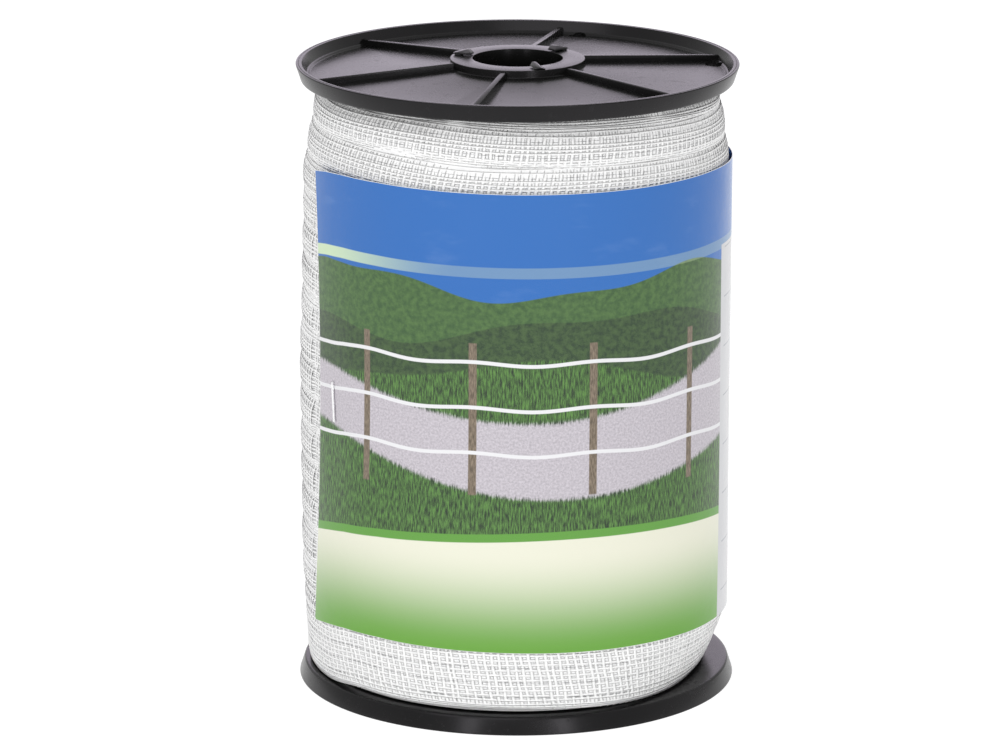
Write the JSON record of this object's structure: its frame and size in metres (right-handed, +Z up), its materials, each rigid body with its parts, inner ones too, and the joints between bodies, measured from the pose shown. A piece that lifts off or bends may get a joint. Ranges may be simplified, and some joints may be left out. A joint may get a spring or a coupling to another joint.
{
  "type": "electric fence tape",
  "caption": "Roll of woven electric fence tape on a black plastic spool with ribbed flanges, a spindle bore and a stapled paper label.",
  "frame": {"origin": "centre of the bottom rim plane, on the spool's axis, where it stands", "axes": "+Z up along the spool's axis to the top flange; -Y faces the picture's camera"},
  "size_m": [0.1366, 0.1366, 0.1981],
  "materials": {
    "black_plastic": "satin moulded",
    "woven_tape": "open plain weave",
    "printed_paper": "printed, lightly coated",
    "staple_steel": "galvanised"
  },
  "bodies": {
    "root": {"spool_body": "black_plastic", "top_flange": "black_plastic", "tape_winding": "woven_tape", "paper_label": "printed_paper", "label_staple_front": "staple_steel", "label_staple_back": "staple_steel"}
  },
  "joints": []
}
